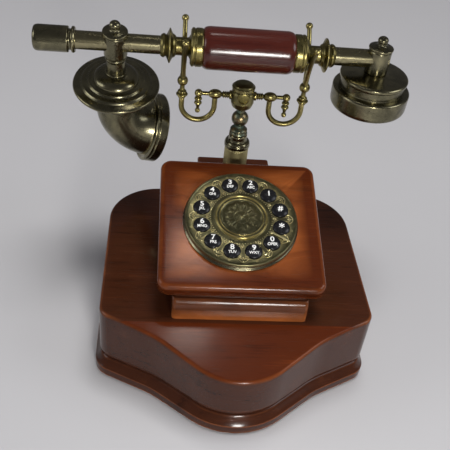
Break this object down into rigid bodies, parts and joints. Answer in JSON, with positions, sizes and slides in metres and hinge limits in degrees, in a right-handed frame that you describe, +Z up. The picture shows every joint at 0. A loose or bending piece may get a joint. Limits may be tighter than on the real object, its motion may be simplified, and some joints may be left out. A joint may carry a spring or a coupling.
{
  "type": "cradle telephone",
  "caption": "Cradle telephone: wooden base, sloping case with a push-button dial, sprung brass cradle with forked hooks, and a lift-off handset with a horn mouthpiece.",
  "frame": {"origin": "on the table, under the middle of the wooden base, at the middle foot", "axes": "+X to the right of a person in front, +Y to the back, +Z up"},
  "size_m": [0.2704, 0.2277, 0.218],
  "materials": {
    "wood_body": "gloss lacquer",
    "wood_dark": "gloss lacquer",
    "brass": "antique, satin",
    "brass_bright": "polished",
    "dial_brass": "engraved, satin",
    "bronze": "dark antique, polished",
    "verdigris_brass": "aged",
    "plate_steel": "matt black",
    "rubber": "matt",
    "steel": "bright",
    "circuit_board": "matt",
    "black_plastic": "matt",
    "key_plastic": "gloss"
  },
  "bodies": {
    "root": {"base_body": "wood_body", "base_plinth": "wood_body", "bottom_plate": "plate_steel", "rubber_feet": "rubber", "bottom_screws": "steel", "cabinet_neck": "wood_body", "cabinet_case": "wood_body", "post_block": "wood_dark", "post_tube": "brass", "post_collar": "bronze", "dial_seat": "bronze", "dial_plate": "dial_brass", "medallion": "dial_brass", "finger_stop": "brass_bright", "key_mat": "rubber", "key_board": "circuit_board", "main_board": "circuit_board", "ringer": "steel", "line_jack": "black_plastic", "cord_jack": "black_plastic", "hook_switch": "black_plastic", "hook_spring": "steel"},
    "cradle": {"plunger": "steel", "cradle_baluster": "verdigris_brass", "cradle_block": "bronze", "cradle_cap": "bronze", "crossbars": "brass", "pendants": "brass", "hook_left": "brass", "hook_right": "brass", "fork_left": "brass", "fork_right": "brass"},
    "handset": {"grip": "wood_dark", "tie_rod": "steel", "ferrules": "brass", "collars": "brass", "handset_tubes": "bronze", "tees": "bronze", "tee_caps": "bronze", "end_cap": "bronze", "handset_jack": "black_plastic", "transmitter_disc": "bronze", "transmitter_horn": "bronze", "mouth_ring": "bronze", "mouth_grille": "black_plastic", "receiver_drum": "bronze", "ear_cap": "bronze", "capsules": "steel"},
    "key_1": {"key_1": "key_plastic"},
    "key_2": {"key_2": "key_plastic"},
    "key_3": {"key_3": "key_plastic"},
    "key_4": {"key_4": "key_plastic"},
    "key_5": {"key_5": "key_plastic"},
    "key_6": {"key_6": "key_plastic"},
    "key_7": {"key_7": "key_plastic"},
    "key_8": {"key_8": "key_plastic"},
    "key_9": {"key_9": "key_plastic"},
    "key_0": {"key_0": "key_plastic"},
    "key_star": {"key_star": "key_plastic"},
    "key_hash": {"key_hash": "key_plastic"}
  },
  "joints": [
    {"name": "hook_rise", "type": "slide", "parent": "root", "child": "cradle", "axis": [0, 0, 1], "range_m": [0, 0.004], "stiffness_N_per_m": 400, "springref_m": 0.012},
    {"name": "handset_lift", "type": "slide", "parent": "cradle", "child": "handset", "axis": [0, 0, 1], "range_m": [0, 0.06]},
    {"name": "key_1_press", "type": "slide", "parent": "root", "child": "key_1", "axis": [0, 0.2701, -0.9628], "range_m": [0, 0.0018], "stiffness_N_per_m": 500, "springref_m": -0.0006},
    {"name": "key_2_press", "type": "slide", "parent": "root", "child": "key_2", "axis": [0, 0.2701, -0.9628], "range_m": [0, 0.0018], "stiffness_N_per_m": 500, "springref_m": -0.0006},
    {"name": "key_3_press", "type": "slide", "parent": "root", "child": "key_3", "axis": [0, 0.2701, -0.9628], "range_m": [0, 0.0018], "stiffness_N_per_m": 500, "springref_m": -0.0006},
    {"name": "key_4_press", "type": "slide", "parent": "root", "child": "key_4", "axis": [0, 0.2701, -0.9628], "range_m": [0, 0.0018], "stiffness_N_per_m": 500, "springref_m": -0.0006},
    {"name": "key_5_press", "type": "slide", "parent": "root", "child": "key_5", "axis": [0, 0.2701, -0.9628], "range_m": [0, 0.0018], "stiffness_N_per_m": 500, "springref_m": -0.0006},
    {"name": "key_6_press", "type": "slide", "parent": "root", "child": "key_6", "axis": [0, 0.2701, -0.9628], "range_m": [0, 0.0018], "stiffness_N_per_m": 500, "springref_m": -0.0006},
    {"name": "key_7_press", "type": "slide", "parent": "root", "child": "key_7", "axis": [0, 0.2701, -0.9628], "range_m": [0, 0.0018], "stiffness_N_per_m": 500, "springref_m": -0.0006},
    {"name": "key_8_press", "type": "slide", "parent": "root", "child": "key_8", "axis": [0, 0.2701, -0.9628], "range_m": [0, 0.0018], "stiffness_N_per_m": 500, "springref_m": -0.0006},
    {"name": "key_9_press", "type": "slide", "parent": "root", "child": "key_9", "axis": [0, 0.2701, -0.9628], "range_m": [0, 0.0018], "stiffness_N_per_m": 500, "springref_m": -0.0006},
    {"name": "key_0_press", "type": "slide", "parent": "root", "child": "key_0", "axis": [0, 0.2701, -0.9628], "range_m": [0, 0.0018], "stiffness_N_per_m": 500, "springref_m": -0.0006},
    {"name": "key_star_press", "type": "slide", "parent": "root", "child": "key_star", "axis": [0, 0.2701, -0.9628], "range_m": [0, 0.0018], "stiffness_N_per_m": 500, "springref_m": -0.0006},
    {"name": "key_hash_press", "type": "slide", "parent": "root", "child": "key_hash", "axis": [0, 0.2701, -0.9628], "range_m": [0, 0.0018], "stiffness_N_per_m": 500, "springref_m": -0.0006}
  ]
}
